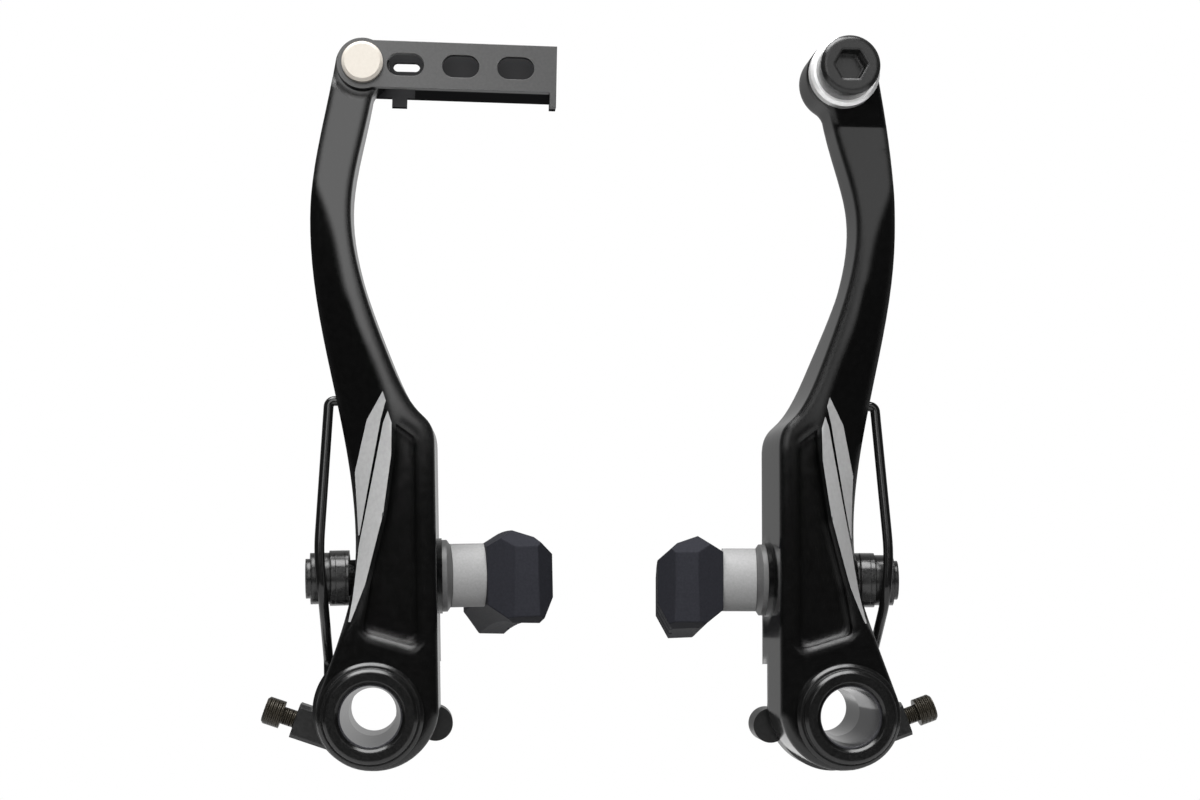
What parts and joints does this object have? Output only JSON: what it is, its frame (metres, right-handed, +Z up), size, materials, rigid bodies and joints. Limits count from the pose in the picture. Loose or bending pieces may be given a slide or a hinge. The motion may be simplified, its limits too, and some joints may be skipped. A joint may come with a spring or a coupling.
{
  "type": "v brake",
  "caption": "Linear-pull rim brake: two curved forged arms on frame bosses, with long rubber pads on ball washers, bowed return springs and a folded cable guide link.",
  "frame": {"origin": "midway between the two pivot axes, in the plane where the pivot sleeves seat on the frame bosses", "axes": "+X to the viewer's right from the left arm to the right arm, +Y along the pivot axes towards the frame, +Z up along the arms towards the cable"},
  "size_m": [0.1189, 0.0667, 0.1266],
  "materials": {
    "arm_gloss_black": "gloss black paint on forged aluminium",
    "sleeve_steel": "satin plated",
    "ring_black": "satin black",
    "holder_plastic": "satin black moulding",
    "bright_steel": "bright plated",
    "screw_black": "black with a brassy slot",
    "spring_wire": "gloss black",
    "washer_dark": "satin dark grey",
    "washer_light": "matt light grey",
    "bolt_black": "satin black",
    "pad_rubber": "matt bluish grey",
    "link_grey": "satin dark grey",
    "rivet_cream": "bright"
  },
  "bodies": {
    "frame_side": {"left_pivot_sleeve": "sleeve_steel", "left_spring_holder": "holder_plastic", "left_stop_pin": "bright_steel", "left_return_spring": "spring_wire", "right_pivot_sleeve": "sleeve_steel", "right_spring_holder": "holder_plastic", "right_stop_pin": "bright_steel", "right_return_spring": "spring_wire"},
    "left_lever": {"left_arm": "arm_gloss_black", "left_dust_ring": "ring_black", "left_inner_convex_washer": "washer_dark", "left_inner_concave_washer": "washer_light", "left_outer_convex_washer": "washer_dark", "left_outer_concave_washer": "washer_light", "left_flat_washer": "washer_dark", "left_shoe_nut": "bolt_black", "left_shoe_stud": "sleeve_steel", "left_brake_pad": "pad_rubber", "link_rivet": "rivet_cream"},
    "right_lever": {"right_arm": "arm_gloss_black", "right_dust_ring": "ring_black", "right_inner_convex_washer": "washer_dark", "right_inner_concave_washer": "washer_light", "right_outer_convex_washer": "washer_dark", "right_outer_concave_washer": "washer_light", "right_flat_washer": "washer_dark", "right_shoe_nut": "bolt_black", "right_shoe_stud": "sleeve_steel", "right_brake_pad": "pad_rubber", "clamp_washer": "bright_steel", "clamp_bolt": "bolt_black"},
    "guide": {"cable_link": "link_grey"},
    "left_screw": {"left_tension_screw": "screw_black"},
    "right_screw": {"right_tension_screw": "screw_black"}
  },
  "joints": [
    {"name": "left_arm_pivot", "type": "hinge", "parent": "frame_side", "child": "left_lever", "pos_m": [-0.04, -0.0128, 0], "axis": [0, 1, 0], "range_deg": [-20, 12], "stiffness_Nm_per_rad": 1.5, "deforming": ["left_return_spring"]},
    {"name": "right_arm_pivot", "type": "hinge", "parent": "frame_side", "child": "right_lever", "pos_m": [0.04, -0.0128, 0], "axis": [0, -1, 0], "range_deg": [-20, 12], "stiffness_Nm_per_rad": 1.5, "deforming": ["right_return_spring"]},
    {"name": "cable_link_pivot", "type": "hinge", "parent": "left_lever", "child": "guide", "pos_m": [-0.04307, -0.0172, 0.10996], "axis": [0, 1, 0], "range_deg": [-100, 18]},
    {"name": "left_tension_screw_slide", "type": "slide", "parent": "frame_side", "child": "left_screw", "axis": [0.9489, 0, -0.3156], "range_m": [0, 0.0022]},
    {"name": "right_tension_screw_slide", "type": "slide", "parent": "frame_side", "child": "right_screw", "axis": [-0.9385, 0, -0.3453], "range_m": [0, 0.0022]}
  ]
}
